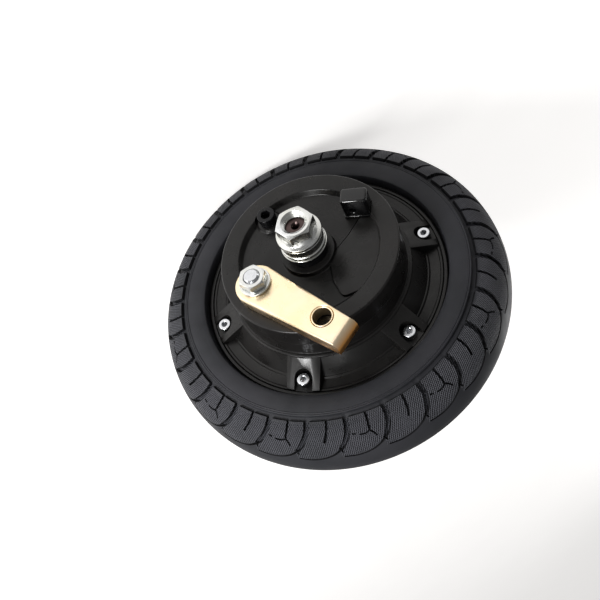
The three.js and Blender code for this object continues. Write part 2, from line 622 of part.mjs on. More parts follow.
/** An M12 flange nut that stands on h = 0. */
function flangeNut() {
  const height = 10.4;
  const bore = THREAD_RADIUS + GAP;
  const chamferRadius = 8.4;
  const cone = turned([
    [bore, 0], [12.15, 0], [12.15, 1.4], [10.6, 2.2], [10.6, height - 1.2], [chamferRadius, height],
    [bore + 0.9, height], [bore, height - 0.9],
  ], MEDIUM_SIDES);
  const flange = rod(13, -1, 2, MEDIUM_SIDES);
  const hexagon = turnedBy(prism(hexagonShape(18), -1, height + 1), 18);
  return cone.intersect(union([flange, hexagon]));
}

const collar = (low, high) => turned([
  [THREAD_RADIUS + GAP, low], [11, low], [11, high - 0.4], [10.6, high], [THREAD_RADIUS + GAP, high],
], MEDIUM_SIDES);

addPart('brake_side_inner_sleeve', ring(7.5 + FIT, SLEEVE_RADIUS, 27.3, 40.9, MEDIUM_SIDES), greySteel());
addPart('brake_side_collar', collar(54.5, FORK_SEAT_H), blackSteel());
addPart('brake_side_washer', ring(THREAD_RADIUS + GAP, 12.5, 61.1, 62.1, MEDIUM_SIDES), zincSteel());
addPart('brake_side_spacer', ring(THREAD_RADIUS + GAP, 12.1, 62.4, 69.8, MEDIUM_SIDES), zincSteel());
addPart('brake_side_nut', flangeNut().translate([0, 0, 70.1]), zincSteel());

addPart('rear_collar', otherSide(turned([
  [7.5 + FIT, 27.3], [SLEEVE_RADIUS, 27.3], [SLEEVE_RADIUS, 31.2], [11, 31.2], [11, FORK_SEAT_H - 0.4],
  [10.6, FORK_SEAT_H], [THREAD_RADIUS + GAP, FORK_SEAT_H], [THREAD_RADIUS + GAP, 34.3], [7.5 + FIT, 34.3],
], MEDIUM_SIDES)), blackSteel());
addPart('rear_washer', otherSide(ring(THREAD_RADIUS + GAP, 12.5, REAR_WASHER_H, 69.8, MEDIUM_SIDES)),
  zincSteel());
addPart('rear_nut', otherSide(flangeNut().translate([0, 0, 70.1])), zincSteel());
addPart('cable_grommet', otherSide(ring(1.9, CABLE_BORE_RADIUS - FIT, 73, 80.3, MEDIUM_SIDES)),
  softRubber());

export default wheel;
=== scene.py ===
"""The looks of a hub motor wheel with a drum brake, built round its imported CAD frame.

Shapes are drawn in millimetres in the wheel's own frame: x and y lie in the wheel's plane, and h
runs along the axle towards the brake side. WHEEL then places them in the row's frame, in metres.
"""
import json
import math

import bmesh
import bpy
from mathutils import Matrix, Vector
from mathutils.geometry import delaunay_2d_cdt


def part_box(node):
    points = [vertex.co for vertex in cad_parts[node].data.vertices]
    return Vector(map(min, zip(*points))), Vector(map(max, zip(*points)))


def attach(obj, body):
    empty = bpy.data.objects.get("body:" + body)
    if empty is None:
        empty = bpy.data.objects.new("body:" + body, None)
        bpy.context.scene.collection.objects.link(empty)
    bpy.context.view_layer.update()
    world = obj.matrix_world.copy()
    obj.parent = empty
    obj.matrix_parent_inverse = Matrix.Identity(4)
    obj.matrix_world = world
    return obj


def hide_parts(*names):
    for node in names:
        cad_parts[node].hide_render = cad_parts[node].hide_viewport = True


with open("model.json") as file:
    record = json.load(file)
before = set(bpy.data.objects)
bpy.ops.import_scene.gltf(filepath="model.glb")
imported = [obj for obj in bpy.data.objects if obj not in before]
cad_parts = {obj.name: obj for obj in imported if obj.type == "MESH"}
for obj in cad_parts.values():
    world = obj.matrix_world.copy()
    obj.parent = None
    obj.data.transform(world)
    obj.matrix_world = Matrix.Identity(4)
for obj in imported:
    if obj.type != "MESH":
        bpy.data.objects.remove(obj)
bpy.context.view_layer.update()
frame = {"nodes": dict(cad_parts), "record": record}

# ---------------------------------------------------------------- frames and driving sizes

MM = 0.001
WHEEL_TURN = math.radians(150)
_C, _S = math.cos(WHEEL_TURN), math.sin(WHEEL_TURN)
WHEEL = Matrix.Scale(MM, 4) @ Matrix(((_C, -_S, 0, 0), (0, 0, -1, 0), (_S, _C, 0, 0), (0, 0, 0, 1)))
UNWHEEL = WHEEL.inverted()


def span(node):
    """The lowest and highest h of a CAD node, in mm."""
    low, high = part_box(node)
    return -high.y / MM, -low.y / MM


def centre(node):
    """The x and y of a round CAD node's axis, in mm."""
    low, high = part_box(node)
    middle = UNWHEEL @ ((low + high) / 2)
    return middle.x, middle.y


def radius(node):
    """The outer radius of a CAD node that is round about the wheel's axle, in mm."""
    low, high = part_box(node)
    return max(high.x, high.z, -low.x, -low.z) / MM


TYRE_RADIUS = radius("tyre")
RIM_LIP_H = span("hub_shell")[1]
PLATE_RADIUS = 48.9
PLATE_BOTTOM_H = span("brake_plate")[0]
RECESS_RADIUS = 37.4
RECESS_H = 50.7
RAISED_FLOOR_H = 51.6
PLATE_TOP_H = 53.8
BOSS_RADIUS = 14.5
SCREW_CIRCLE = 60.5
THREAD_RADIUS = 6
FLAT_HALF = 5
LEVER_ANGLE = math.radians(-35.6)
LEVER_EYE = 43
CAM_AT = centre("cam_bush")
PLATE_SCREW_AT = centre("plate_screw")
STEPS = 120  # round an axis, for large pieces
KNURL_PITCH = 1.0  # mm


# ---------------------------------------------------------------- outline and mesh helpers

def polar(r, degrees):
    a = math.radians(degrees)
    return r * math.cos(a), r * math.sin(a)


def rounded(outline, segments=4):
    """A closed outline of (x, y) or (x, y, fillet radius) corners, with its fillets drawn."""
    points = []
    for i, corner in enumerate(outline):
        here = Vector(corner[:2])
        fillet = corner[2] if len(corner) > 2 else 0
        if not fillet:
            points.append(tuple(here))
            continue
        back = (Vector(outline[i - 1][:2]) - here).normalized()
        ahead = (Vector(outline[(i + 1) % len(outline)][:2]) - here).normalized()
        half = math.acos(max(-1, min(1, back.dot(ahead)))) / 2
        start = here + back * fillet / math.tan(half)
        end = here + ahead * fillet / math.tan(half)
        middle = here + (back + ahead).normalized() * fillet / math.sin(half)
        a0 = math.atan2(*(start - middle).yx)
        turn = math.remainder(math.atan2(*(end - middle).yx) - a0, math.tau)
        for k in range(segments + 1):
            a = a0 + turn * k / segments
            points.append((middle.x + fillet * math.cos(a), middle.y + fillet * math.sin(a)))
    return points


def inset(outline, distance):
    """A closed counter-clockwise outline moved inwards by a distance."""
    moved = []
    for i, point in enumerate(outline):
        here = Vector(point)
        before = (here - Vector(outline[i - 1])).normalized()
        after = (Vector(outline[(i + 1) % len(outline)]) - here).normalized()
        n1, n2 = Vector((-before.y, before.x)), Vector((-after.y, after.x))
        moved.append(tuple(here + (n1 + n2) * distance / max(0.3, 1 + n1.dot(n2))))
    return moved


def rectangle(x0, x1, y0, y1, fillet=0):
    return rounded([(x0, y0, fillet), (x1, y0, fillet), (x1, y1, fillet), (x0, y1, fillet)])


def hexagon(across_flats, turn=0, fillet=0.0):
    r = across_flats / 2 / math.cos(math.pi / 6)
    return rounded([(*polar(r, 60 * k + turn), fillet) for k in range(6)], 2)


def finish_mesh(bm):
    bmesh.ops.remove_doubles(bm, verts=bm.verts, dist=1e-4)
    bmesh.ops.dissolve_degenerate(bm, edges=bm.edges, dist=1e-5)
    bmesh.ops.recalc_face_normals(bm, faces=bm.faces)
    if bm.calc_volume(signed=True) < 0:
        bmesh.ops.reverse_faces(bm, faces=bm.faces)
    return bm


def loft(rings, cap=True):
    """A solid through rings of points with the same count, closed by flat caps."""
    bm = bmesh.new()
    made = [[bm.verts.new(p) for p in ring] for ring in rings]
    for low, high in zip(made, made[1:]):
        for i in range(len(low)):
            j = (i + 1) % len(low)
            bm.faces.new((low[i], low[j], high[j], high[i]))
    if cap:
        bm.faces.new(made[0][::-1])
        bm.faces.new(made[-1])
    return finish_mesh(bm)


def lathe(outline, steps=STEPS, at=(0, 0), segments=4):
    """A solid of revolution from a closed outline of (r, h) or (r, h, fillet radius)."""
    profile = rounded(outline, segments)
    bm = bmesh.new()
    rings = []
    for k in range(steps):
        c, s = math.cos(math.tau * k / steps), math.sin(math.tau * k / steps)
        rings.append([bm.verts.new((at[0] + r * c, at[1] + r * s, h)) for r, h in profile])
    for k in range(steps):
        near, far = rings[k], rings[(k + 1) % steps]
        for i in range(len(profile)):
            j = (i + 1) % len(profile)
            if profile[i][0] < 1e-6 and profile[j][0] < 1e-6:
                continue
            bm.faces.new((near[i], near[j], far[j], far[i]))
    return finish_mesh(bm)


def extrude(outline, low, high, edge=0.0, bottom_edge=0.0):
    """A prism along h with its top and bottom edges rounded."""
    rings = []
    for radius_, level, sign in ((bottom_edge, low, 1), (edge, high, -1)):
        quarter = [math.pi / 2 * k / 3 for k in range(4)] if radius_ else [math.pi / 2]
        layer = [(radius_ * (1 - math.sin(a)), level + sign * radius_ * (1 - math.cos(a))) for a in quarter]
        for distance, h in layer if sign > 0 else layer[::-1]:
            rings.append([(x, y, h) for x, y in (inset(outline, distance) if distance else outline)])
    return loft(rings)


def circle(r, at=(0, 0), steps=48):
    return [(at[0] + r * math.cos(math.tau * k / steps), at[1] + r * math.sin(math.tau * k / steps))
            for k in range(steps)]


def spun(bm, degrees=0.0, at=(0, 0), lift=0.0, flip=False):
    """The mesh turned about h, moved, and with flip turned over to the wheel's other side."""
    move = Matrix.Translation((at[0], at[1], lift)) @ Matrix.Rotation(math.radians(degrees), 4, "Z")
    if flip:
        move = Matrix.Rotation(math.pi, 4, "X") @ move
    bm.transform(move)
    return bm


def tilted(bm, degrees, axis):
    bm.transform(Matrix.Rotation(math.radians(degrees), 4, axis))
    return bm


def as_object(bm, name="scratch"):
    mesh = bpy.data.meshes.new(name)
    bm.to_mesh(mesh)
    bm.free()
    obj = bpy.data.objects.new(name, mesh)
    bpy.context.scene.collection.objects.link(obj)
    return obj


def applied(obj):
    """The object with its modifiers made part of its mesh."""
    depsgraph = bpy.context.evaluated_depsgraph_get()
    mesh = bpy.data.meshes.new_from_object(obj.evaluated_get(depsgraph))
    obj.modifiers.clear()
    obj.data = mesh
    return obj


def combine(bm, others, operation):
    """A boolean of one mesh with a list of others, as a new mesh."""
    obj = as_object(bm)
    tools = [as_object(other) for other in others]
    for tool in tools:
        modifier = obj.modifiers.new("boolean", "BOOLEAN")
        modifier.operation = operation
        modifier.solver = "EXACT"
        modifier.object = tool
    applied(obj)
    result = bmesh.new()
    result.from_mesh(obj.data)
    for scratch in (obj, *tools):
        bpy.data.objects.remove(scratch)
    bmesh.ops.remove_doubles(result, verts=result.verts, dist=1e-4)
    bmesh.ops.dissolve_degenerate(result, edges=result.edges, dist=1e-4)
    return result


def cut(bm, *others):
    return combine(bm, others, "DIFFERENCE")


def join(bm, *others):
    return combine(bm, others, "UNION")


def meet(bm, *others):
    return combine(bm, others, "INTERSECT")


def piece(name, bm, body, slot_name, material, *nodes, sharp=32):
    """One finished piece in the row's frame, which rides on a body and stands for CAD nodes."""
    obj = as_object(bm, name)
    obj.data.transform(WHEEL)
    obj.data.shade_smooth()
    obj.data.set_sharp_from_angle(angle=math.radians(sharp))
    obj.data.materials.clear()
    obj.data.materials.append(material)
    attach(obj, body)
    if nodes:
        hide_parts(*nodes)
    return obj


# ---------------------------------------------------------------- materials

def material(name, color, roughness, metallic=0.0, mottle=0.1, rough_spread=0.08, scale=300.0,
             bump=0.0, bump_scale=1500.0, coat=0.0, stretch=(1, 1, 1), tint=None, tint_scale=60.0,
             specular=0.5):
    """A procedural finish: colour and roughness that vary with noise, over a fine grain."""
    made = bpy.data.materials.new(name)
    made.use_nodes = True
    nodes, links = made.node_tree.nodes, made.node_tree.links
    shader = nodes["Principled BSDF"]
    shader.inputs["Metallic"].default_value = metallic
    shader.inputs["Specular IOR Level"].default_value = specular
    shader.inputs["Coat Weight"].default_value = coat
    place = nodes.new("ShaderNodeTexCoord")
    stretched = nodes.new("ShaderNodeMapping")
    stretched.inputs["Scale"].default_value = stretch
    links.new(place.outputs["Object"], stretched.inputs["Vector"])

    def noise(size, detail=4.0):
        node = nodes.new("ShaderNodeTexNoise")
        node.inputs["Scale"].default_value = size
        node.inputs["Detail"].default_value = detail
        links.new(stretched.outputs["Vector"], node.inputs["Vector"])
        return node.outputs["Fac"]

    def spread(source, low, high):
        node = nodes.new("ShaderNodeMapRange")
        node.inputs["From Min"].default_value = 0.3
        node.inputs["From Max"].default_value = 0.7
        node.inputs["To Min"].default_value = low
        node.inputs["To Max"].default_value = high
        links.new(source, node.inputs["Value"])
        return node.outputs["Result"]

    def mix(factor, first, second):
        node = nodes.new("ShaderNodeMix")
        node.data_type = "RGBA"
        links.new(factor, node.inputs["Factor"])
        for socket, value in ((node.inputs["A"], first), (node.inputs["B"], second)):
            if isinstance(value, tuple):
                socket.default_value = (*value, 1)
            else:
                links.new(value, socket)
        return node.outputs["Result"]

    grain = noise(scale)
    dark = tuple(c * (1 - mottle) for c in color)
    light = tuple(min(1, c * (1 + mottle)) for c in color)
    base = mix(spread(grain, 0, 1), dark, light)
    if tint:
        base = mix(spread(noise(tint_scale, 3.0), 0, 1), base, tint)
    links.new(base, shader.inputs["Base Color"])
    links.new(spread(noise(scale * 0.6), roughness - rough_spread, roughness + rough_spread),
              shader.inputs["Roughness"])
    if bump:
        node = nodes.new("ShaderNodeBump")
        node.inputs["Strength"].default_value = bump
        node.inputs["Distance"].default_value = 0.0001
        links.new(noise(bump_scale, 2.0), node.inputs["Height"])
        links.new(node.outputs["Normal"], shader.inputs["Normal"])
    return made


def tyre_material():
    """Moulded rubber, with a fine diamond knurl where the mesh's knurl attribute asks for it, and painted
    light in its colour: pale knurl crests as painted highlight, and dark knurl valleys and groove walls as
    painted shade.
    """
    made = material("tyre_rubber", (0.020, 0.021, 0.024), 0.6, mottle=0.2, scale=120, rough_spread=0.07,
                    bump=0.25, bump_scale=900, tint=(0.028, 0.028, 0.033), tint_scale=25, specular=0.35)
    nodes, links = made.node_tree.nodes, made.node_tree.links
    grain = next(node for node in nodes if node.bl_idname == "ShaderNodeBump")
    where = nodes.new("ShaderNodeAttribute")
    where.attribute_name = "knurl"
    flat = nodes.new("ShaderNodeUVMap")
    flat.uv_map = "tread"
    waves = []
    for direction in ((0.9, 0.43, 0), (-0.9, 0.43, 0)):
        along = nodes.new("ShaderNodeVectorMath")
        along.operation = "DOT_PRODUCT"
        along.inputs[1].default_value = direction
        links.new(flat.outputs["UV"], along.inputs[0])
        turn = nodes.new("ShaderNodeMath")
        turn.operation = "MULTIPLY"
        turn.inputs[1].default_value = math.tau / KNURL_PITCH
        links.new(along.outputs["Value"], turn.inputs[0])
        wave = nodes.new("ShaderNodeMath")
        wave.operation = "SINE"
        links.new(turn.outputs["Value"], wave.inputs[0])
        waves.append(wave.outputs["Value"])
    peaks = nodes.new("ShaderNodeMath")
    peaks.operation = "MULTIPLY_ADD"
    peaks.inputs[1].default_value = 0.45
    links.new(waves[1], peaks.inputs[0])
    links.new(waves[0], peaks.inputs[2])
    masked = nodes.new("ShaderNodeMath")
    masked.operation = "MULTIPLY"
    links.new(peaks.outputs["Value"], masked.inputs[0])
    links.new(where.outputs["Fac"], masked.inputs[1])
    knurl = nodes.new("ShaderNodeBump")
    knurl.inputs["Strength"].default_value = 1.0
    knurl.inputs["Distance"].default_value = 0.0002
    links.new(masked.outputs["Value"], knurl.inputs["Height"])
    links.new(grain.outputs["Normal"], knurl.inputs["Normal"])
    links.new(knurl.outputs["Normal"], nodes["Principled BSDF"].inputs["Normal"])
    # Painted light: the knurl's crests are painted pale as a highlight, and its valleys painted black as
    # shade.
    shade = nodes.new("ShaderNodeMapRange")
    shade.inputs["From Min"].default_value = -1.3
    shade.inputs["From Max"].default_value = 1.3
    shade.inputs["To Min"].default_value = 0.25
    shade.inputs["To Max"].default_value = 3.2
    links.new(peaks.outputs["Value"], shade.inputs["Value"])
    only_knurled = nodes.new("ShaderNodeMix")
    only_knurled.inputs["A"].default_value = 1
    links.new(where.outputs["Fac"], only_knurled.inputs["Factor"])
    links.new(shade.outputs["Result"], only_knurled.inputs["B"])
    # Painted shade darkens the grooves' walls.
    walls = nodes.new("ShaderNodeAttribute")
    walls.attribute_name = "wall"
    painted_wall_shade = nodes.new("ShaderNodeMath")
    painted_wall_shade.operation = "MULTIPLY_ADD"
    painted_wall_shade.inputs[1].default_value = -0.75
    painted_wall_shade.inputs[2].default_value = 1
    links.new(walls.outputs["Fac"], painted_wall_shade.inputs[0])
    level = nodes.new("ShaderNodeMath")
    level.operation = "MULTIPLY"
    links.new(only_knurled.outputs["Result"], level.inputs[0])
    links.new(painted_wall_shade.outputs["Value"], level.inputs[1])
    plain = nodes["Principled BSDF"].inputs["Base Color"].links[0].from_socket
    shaded = nodes.new("ShaderNodeVectorMath")
    shaded.operation = "SCALE"
    links.new(plain, shaded.inputs[0])
    links.new(level.outputs["Value"], shaded.inputs["Scale"])
    links.new(shaded.outputs["Vector"], nodes["Principled BSDF"].inputs["Base Color"])
    return made


def yellow_zinc_material():
    """Yellow passivated zinc, with an orange sheen painted into its colour where the mesh's fold attribute
    marks the bend.
    """
    made = material("yellow_zinc", (0.83, 0.68, 0.44), 0.30, metallic=1, mottle=0.06, scale=120,
                    rough_spread=0.06, bump=0.15, bump_scale=900, tint=(0.86, 0.72, 0.56), tint_scale=70)
    nodes, links = made.node_tree.nodes, made.node_tree.links
    # Painted sheen: orange is mixed into the colour at the fold, standing in for the chromate's iridescence
    # at grazing angles.
    where = nodes.new("ShaderNodeAttribute")
    where.attribute_name = "fold"
    mix = nodes.new("ShaderNodeMix")
    mix.data_type = "RGBA"
    mix.inputs["B"].default_value = (0.80, 0.42, 0.14, 1)
    base = nodes["Principled BSDF"].inputs["Base Color"]
    links.new(base.links[0].from_socket, mix.inputs["A"])
    links.new(where.outputs["Fac"], mix.inputs["Factor"])
    links.new(mix.outputs["Result"], base)
    return made


FINISHES = {
    "tyre_rubber": tyre_material(),
    "black_casting": material("black_casting", (0.0105, 0.0103, 0.010), 0.31, mottle=0.2, scale=180,
                              bump=0.3, bump_scale=1400, tint=(0.015, 0.014, 0.0135), tint_scale=30,
                              specular=0.33),
    "black_gloss": material("black_gloss", (0.003, 0.003, 0.0034), 0.14, mottle=0.2, scale=150,
                            rough_spread=0.04, bump=0.12, bump_scale=500, specular=0.55),
    "black_steel": material("black_steel", (0.008, 0.008, 0.009), 0.26, metallic=0.3, scale=400,
                            bump=0.15, bump_scale=1200, specular=0.4),
    "white_zinc": material("white_zinc", (0.62, 0.63, 0.64), 0.27, metallic=1, mottle=0.08, scale=260,
                           rough_spread=0.07, bump=0.18, bump_scale=1100, tint=(0.56, 0.56, 0.52)),
    "yellow_zinc": yellow_zinc_material(),
    "bright_steel": material("bright_steel", (0.55, 0.56, 0.58), 0.22, metallic=1, mottle=0.08, scale=500,
                             bump=0.12, bump_scale=1500),
    "axle_steel": material("axle_steel", (0.10, 0.075, 0.072), 0.36, metallic=1, mottle=0.3, scale=350,
                           bump=0.3, bump_scale=1200, tint=(0.07, 0.052, 0.05)),
    "bearing_steel": material("bearing_steel", (0.70, 0.71, 0.72), 0.14, metallic=1, mottle=0.03,
                              stretch=(1, 6, 1), bump=0.05),
    "core_steel": material("core_steel", (0.10, 0.105, 0.115), 0.45, metallic=0.8, mottle=0.3, scale=900,
                           stretch=(0.05, 1, 0.05), bump=0.5, bump_scale=2500),
    "magnet_nickel": material("magnet_nickel", (0.42, 0.42, 0.40), 0.2, metallic=1, bump=0.1),
    "copper": material("copper", (0.50, 0.17, 0.055), 0.3, metallic=0.6, mottle=0.3, scale=1500,
                       stretch=(1, 0.2, 1), bump=0.6, bump_scale=2500, coat=0.3),
    "bare_casting": material("bare_casting", (0.48, 0.49, 0.50), 0.45, metallic=1, bump=0.4, scale=500),
    "board_green": material("board_green", (0.02, 0.12, 0.05), 0.4, mottle=0.3, scale=900, coat=0.3),
    "lining": material("lining", (0.10, 0.075, 0.055), 0.85, mottle=0.5, scale=1400, bump=0.6),
    "bronze": material("bronze", (0.46, 0.28, 0.11), 0.38, metallic=1, mottle=0.2, scale=1200, bump=0.3),
    "seal_rubber": material("seal_rubber", (0.014, 0.014, 0.015), 0.55, mottle=0.2, bump=0.3),
}

for record_part in frame["record"]["subparts"]:
    cad_mesh = frame["nodes"][record_part["node"]].data
    cad_mesh.materials.clear()
    cad_mesh.materials.append(FINISHES[record_part["material_slot"]])


def finished(name, bm, body, slot_name, *nodes, **options):
    return piece(name, bm, body, slot_name, FINISHES[slot_name], *nodes, **options)


# ---------------------------------------------------------------- tyre

PATTERNS = 13  # the tread repeats after a plain sipe and a forked one
TREAD_MEAN_RADIUS = 95
CELL = math.tau * TREAD_MEAN_RADIUS / PATTERNS
PITCH = CELL / 2
SHOULDER_STEP = 1.9
WALL = 0.38  # how far a groove's wall leans in
COLUMNS = 20  # round the tyre, in one cell
# The tread's section from the shoulder's foot to the crown, as (r, h).
TREAD_LINE = [(81.9, 24.6), (84.4, 23.7), (87.6, 22.4), (90.5, 20.8), (93.4, 18.5), (95.8, 15.7),
              (97.6, 12.4), (98.9, 8.4), (99.7, 4.2), (TYRE_RADIUS, 0)]


def along_tread():
    """The tread's section as points with their distance from the shoulder's top edge."""
    line = [Vector(p) for p in TREAD_LINE]
    lengths = [0]
    for a, b in zip(line, line[1:]):
        lengths.append(lengths[-1] + (b - a).length)
    return line, [length - lengths[1] for length in lengths]


LINE, LINE_S = along_tread()
FOOT_S, CROWN_S = LINE_S[0], LINE_S[-1]


def section(s):
    """The section's point and outward normal at a distance s, on a smooth curve."""
    i = max(0, min(len(LINE) - 2, sum(1 for length in LINE_S[1:-1] if length <= s)))

    def tangent(k):
        if k == len(LINE) - 1:
            return Vector((0, -1))
        before, after = LINE[max(0, k - 1)], LINE[k + 1]
        return (after - before) / (LINE_S[k + 1] - LINE_S[max(0, k - 1)])

    width = LINE_S[i + 1] - LINE_S[i]
    t = (s - LINE_S[i]) / width
    p0, p1 = LINE[i], LINE[i + 1]
    m0, m1 = tangent(i) * width, tangent(i + 1) * width
    point = (p0 * (2 * t**3 - 3 * t**2 + 1) + m0 * (t**3 - 2 * t**2 + t)
             + p1 * (3 * t**2 - 2 * t**3) + m1 * (t**3 - t**2))
    slope = ((p0 * (6 * t**2 - 6 * t) + m0 * (3 * t**2 - 4 * t + 1)
              + p1 * (6 * t - 6 * t**2) + m1 * (3 * t**2 - 2 * t)) / width).normalized()
    return point, Vector((-slope.y, slope.x))


# Each groove is a line of (u, s, width) with a depth, where u runs round the tyre.
BIG_GROOVE = [(0.2, -3.4, 3.5), (0.1, 0, 3.4), (0, 4, 3.2), (-0.9, 8, 3.0), (-2.9, 12, 2.8),
              (-5.6, 15.6, 2.3), (-6.9, 17, 1.2)]
THIN_GROOVE = [(-6.4, 16.5, 1.5), (-9, 18.6, 1.2), (-12.5, 20.5, 1.15), (-17, 21.9, 1.1), (-22, 22.4, 1.1),
               (-28.6, 21.6, 1.0)]
TICK = [(-5.9, 16.2, 1.1), (-5.3, 18.4, 0.9)]
PLAIN_SIPE = [(-10.9, -3.4, 1.7), (-11, 0, 1.6), (-11.3, 4, 1.5), (-12.3, 8, 1.4), (-13.7, 11.2, 1.3)]
FORK_STEM = [(-10.9, -3.4, 1.7), (-11, 0, 1.6), (-11.2, 4.5, 1.4), (-11.8, 9.3, 1.2)]
FORK_LEFT = [(-11.8, 9.3, 1.1), (-14.4, 10.2, 0.95), (-17.6, 9.9, 0.85)]
FORK_NICK = [(-19.4, 9.2, 0.9), (-21.4, 8.6, 1.0)]
FORK_RIGHT = [(-11.8, 9.3, 1.1), (-10.2, 11, 0.95), (-9.2, 13.2, 0.8)]
GROOVES = [(line, depth, shift) for shift in (0, PITCH)
           for line, depth in ((BIG_GROOVE, 2.0), (THIN_GROOVE, 1.3), (TICK, 1.2))]
GROOVES += [(PLAIN_SIPE, 1.7, 0), (FORK_STEM, 1.7, PITCH), (FORK_LEFT, 1.1, PITCH),
            (FORK_NICK, 0.9, PITCH), (FORK_RIGHT, 1.1, PITCH)]


def groove_rows(line):
    """A smooth centreline of (point, half width) through a groove's points."""
    rows = []
    for i in range(len(line) - 1):
        p = [Vector(line[max(0, min(len(line) - 1, j))]) for j in (i - 1, i, i + 1, i + 2)]
        steps = max(2, round((p[2] - p[1]).xy.length / 1.6))
        for k in range(steps + (i == len(line) - 2)):
            t = k / steps
            here = 0.5 * (2 * p[1] + (p[2] - p[0]) * t + (2 * p[0] - 5 * p[1] + 4 * p[2] - p[3]) * t**2
                          + (3 * p[1] - p[0] - 3 * p[2] + p[3]) * t**3)
            rows.append((here.xy, here.z / 2))
    return rows


def groove_outline(rows, shrink):
    """The closed outline of a groove, drawn in by a margin."""
    left, right = [], []
    for i, (point, half) in enumerate(rows):
        ahead = (rows[min(i + 1, len(rows) - 1)][0] - rows[max(i - 1, 0)][0]).normalized()
        side = Vector((-ahead.y, ahead.x)) * (half - shrink)
        end = ahead * shrink * ((i == 0) - (i == len(rows) - 1))
        left.append(point + side + end)
        right.append(point - side + end)
    return left + right[::-1]


ALL_ROWS = [(groove_rows(line), depth, shift + cell * CELL)
            for line, depth, shift in GROOVES for cell in (-1, 0, 1, 2)]


def depth_at(u, s):
    """How deep the tread is cut at a place, from its nearest groove."""
    deepest = SHOULDER_STEP if s < -WALL else SHOULDER_STEP * max(0, -s) / WALL
    here = Vector((u, s))
    for rows, depth, shift in ALL_ROWS:
        moved = here - Vector((shift, 0))
        if not (rows[-1][0].x - 3 < moved.x < rows[0][0].x + 4):
            continue
        for (a, wide_a), (b, wide_b) in zip(rows, rows[1:]):
            line = b - a
            t = max(0, min(1, (moved - a).dot(line) / line.length_squared))
            inside = wide_a + (wide_b - wide_a) * t - (moved - a - line * t).length
            deepest = max(deepest, depth * max(0, min(1, inside / WALL)))
    return deepest


def knurl_at(u, s):
    """Where the blocks carry their fine knurl: from the shoulder to the thin grooves' arcs."""
    past_elbow = min(16, (-6.4 - u) % PITCH)
    limit = 15.8 + 6 * (1 - (1 - past_elbow / 16) ** 2)
    return 1.0 if 0.3 < s < limit else 0.0


def tread_cell():
    """One repeat of one side's tread: flat places, and triangles between them."""
    points, edges = [], []

    def add_line(line, closed=False):
        first = len(points)
        points.extend(Vector(p) for p in line)
        edges.extend((first + i, first + i + 1) for i in range(len(line) - 1))
        if closed:
            edges.append((len(points) - 1, first))

    across = [CELL * k / COLUMNS for k in range(COLUMNS + 1)]
    levels = [FOOT_S, -WALL, 0, *[CROWN_S * k / 14 for k in range(1, 15)]]
    for level in (FOOT_S, -WALL, 0, CROWN_S):
        add_line([(u, level) for u in across])
    for u in (0, CELL):
        add_line([(u, level) for level in levels])
    for level in levels[3:-1]:
        points.extend(Vector((u, level)) for u in across[1:-1])
    for rows, _, shift in ALL_ROWS:
        for shrink in (0, WALL):
            outline = [p + Vector((shift, 0)) for p in groove_outline(rows, shrink)]
            if max(p.x for p in outline) > -1 and min(p.x for p in outline) < CELL + 1:
                add_line(outline, closed=True)
    flat, _, triangles, *_ = delaunay_2d_cdt(points, edges, [], 0, 1e-4)
    inside = [t for t in triangles if all(-1e-3 < flat[i].x < CELL + 1e-3 for i in t)
              and all(FOOT_S - 1e-3 < flat[i].y < CROWN_S + 1e-3 for i in t)]
    return flat, inside


